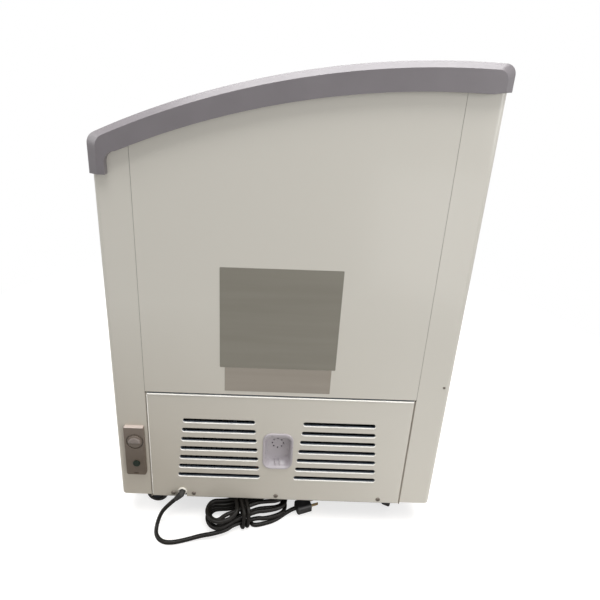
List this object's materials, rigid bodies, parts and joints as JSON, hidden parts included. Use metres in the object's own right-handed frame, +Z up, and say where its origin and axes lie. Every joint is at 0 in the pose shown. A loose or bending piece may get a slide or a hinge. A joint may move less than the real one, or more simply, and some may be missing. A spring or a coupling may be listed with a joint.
{
  "type": "display freezer",
  "caption": "Chest display freezer on castors with an arched rim and two curved sliding glass lids, shown at its vented machine end with the power cord tied in a hank.",
  "frame": {"origin": "on the floor under the middle of the cabinet, without its cord", "axes": "+X along the cabinet to the machine end, +Y from the customer side to the wall side, +Z up"},
  "size_m": [1.0481, 0.643, 0.9115],
  "materials": {
    "white_sheet": "gloss baked enamel, warm white",
    "rim_plastic": "satin grey moulding",
    "lid_plastic": "satin grey moulding",
    "lid_glass": "clear bent tempered pane",
    "control_plastic": "satin grey-brown moulding",
    "knob_plastic": "satin moulding",
    "lamp_lens": "green lens, unlit",
    "cup_plastic": "grey moulding",
    "zinc_steel": "zinc-plated sheet",
    "liner_sheet": "stucco-free satin sheet",
    "foam": "blown polyurethane foam, cell structure",
    "copper": "drawn copper tube",
    "black_paint": "satin black paint",
    "black_rubber": "black rubber",
    "cord_jacket": "black flexible jacket",
    "white_plastic": "white nylon",
    "black_plastic": "black moulding",
    "hose_plastic": "soft grey hose",
    "blade_brass": "brass contact blade"
  },
  "bodies": {
    "cabinet": {"base_plate": "zinc_steel", "bay_lining": "zinc_steel", "capillary_tube": "copper", "castor_plates": "black_paint", "compressor_bolts": "zinc_steel", "compressor_feet": "zinc_steel", "compressor_grommets": "black_rubber", "compressor_shell": "black_paint", "compressor_terminal": "black_plastic", "condenser_coil": "black_paint", "condenser_stays": "zinc_steel", "condenser_wires": "black_paint", "control_plate": "control_plastic", "cord_free": "cord_jacket", "cord_gland": "white_plastic", "cord_hank": "cord_jacket", "cord_tail": "cord_jacket", "cover_screws": "zinc_steel", "discharge_line": "copper", "drain_cup": "cup_plastic", "drain_hose": "hose_plastic", "drain_stopper": "cup_plastic", "evaporator_tube": "copper", "fan_bracket": "zinc_steel", "fan_motor": "black_plastic", "far_end_cap": "rim_plastic", "far_end_panel": "white_sheet", "filter_drier": "copper", "foam_body": "foam", "front_rail": "rim_plastic", "front_wrap": "white_sheet", "inner_liner": "liner_sheet", "liquid_line": "copper", "machine_cover": "white_sheet", "machine_end_cap": "rim_plastic", "machine_end_panel": "white_sheet", "plug_blades": "blade_brass", "power_lamp": "lamp_lens", "power_plug": "black_plastic", "rear_rail": "rim_plastic", "rear_wrap": "white_sheet", "suction_line": "copper", "supply_lead": "cord_jacket", "thermostat_body": "black_plastic"},
    "upper_lid": {"lid_upper_frame": "lid_plastic", "lid_upper_glass": "lid_glass"},
    "lower_lid": {"lid_lower_frame": "lid_plastic", "lid_lower_glass": "lid_glass"},
    "dial": {"thermostat_knob": "knob_plastic"},
    "fan_wheel": {"fan_blade": "black_plastic"},
    "swivel_front_machine": {"castor_fork_front_machine": "black_paint"},
    "roller_front_machine": {"castor_wheel_front_machine": "black_rubber"},
    "swivel_rear_machine": {"castor_fork_rear_machine": "black_paint"},
    "roller_rear_machine": {"castor_wheel_rear_machine": "black_rubber"},
    "swivel_front_far": {"castor_fork_front_far": "black_paint"},
    "roller_front_far": {"castor_wheel_front_far": "black_rubber"},
    "swivel_rear_far": {"castor_fork_rear_far": "black_paint"},
    "roller_rear_far": {"castor_wheel_rear_far": "black_rubber"}
  },
  "joints": [
    {"name": "upper_lid_slide", "type": "slide", "parent": "cabinet", "child": "upper_lid", "axis": [1, 0, 0], "range_m": [-0.399, 0]},
    {"name": "lower_lid_slide", "type": "slide", "parent": "cabinet", "child": "lower_lid", "axis": [1, 0, 0], "range_m": [0, 0.399]},
    {"name": "dial_turn", "type": "hinge", "parent": "cabinet", "child": "dial", "pos_m": [0.488, -0.282, 0.2015], "axis": [1, 0, 0], "range_deg": [-150, 150]},
    {"name": "fan_spin", "type": "hinge", "parent": "cabinet", "child": "fan_wheel", "pos_m": [0.392, -0.15, 0.182], "axis": [1, 0, 0], "continuous": true},
    {"name": "swivel_front_machine_turn", "type": "hinge", "parent": "cabinet", "child": "swivel_front_machine", "pos_m": [0.438, -0.246, 0.05], "axis": [0, 0, 1], "continuous": true},
    {"name": "roller_front_machine_roll", "type": "hinge", "parent": "swivel_front_machine", "child": "roller_front_machine", "pos_m": [0.438, -0.256, 0.023], "axis": [-1, 0, 0], "continuous": true},
    {"name": "swivel_rear_machine_turn", "type": "hinge", "parent": "cabinet", "child": "swivel_rear_machine", "pos_m": [0.438, 0.246, 0.05], "axis": [0, 0, 1], "continuous": true},
    {"name": "roller_rear_machine_roll", "type": "hinge", "parent": "swivel_rear_machine", "child": "roller_rear_machine", "pos_m": [0.42894, 0.25023, 0.023], "axis": [0.4226, 0.9063, 0], "continuous": true},
    {"name": "swivel_front_far_turn", "type": "hinge", "parent": "cabinet", "child": "swivel_front_far", "pos_m": [-0.438, -0.246, 0.05], "axis": [0, 0, 1], "continuous": true},
    {"name": "roller_front_far_roll", "type": "hinge", "parent": "swivel_front_far", "child": "roller_front_far", "pos_m": [-0.4286, -0.24942, 0.023], "axis": [-0.342, -0.9397, 0], "continuous": true},
    {"name": "swivel_rear_far_turn", "type": "hinge", "parent": "cabinet", "child": "swivel_rear_far", "pos_m": [-0.438, 0.246, 0.05], "axis": [0, 0, 1], "continuous": true},
    {"name": "roller_rear_far_roll", "type": "hinge", "parent": "swivel_rear_far", "child": "roller_rear_far", "pos_m": [-0.42981, 0.25174, 0.023], "axis": [0.5736, -0.8192, 0], "continuous": true}
  ]
}
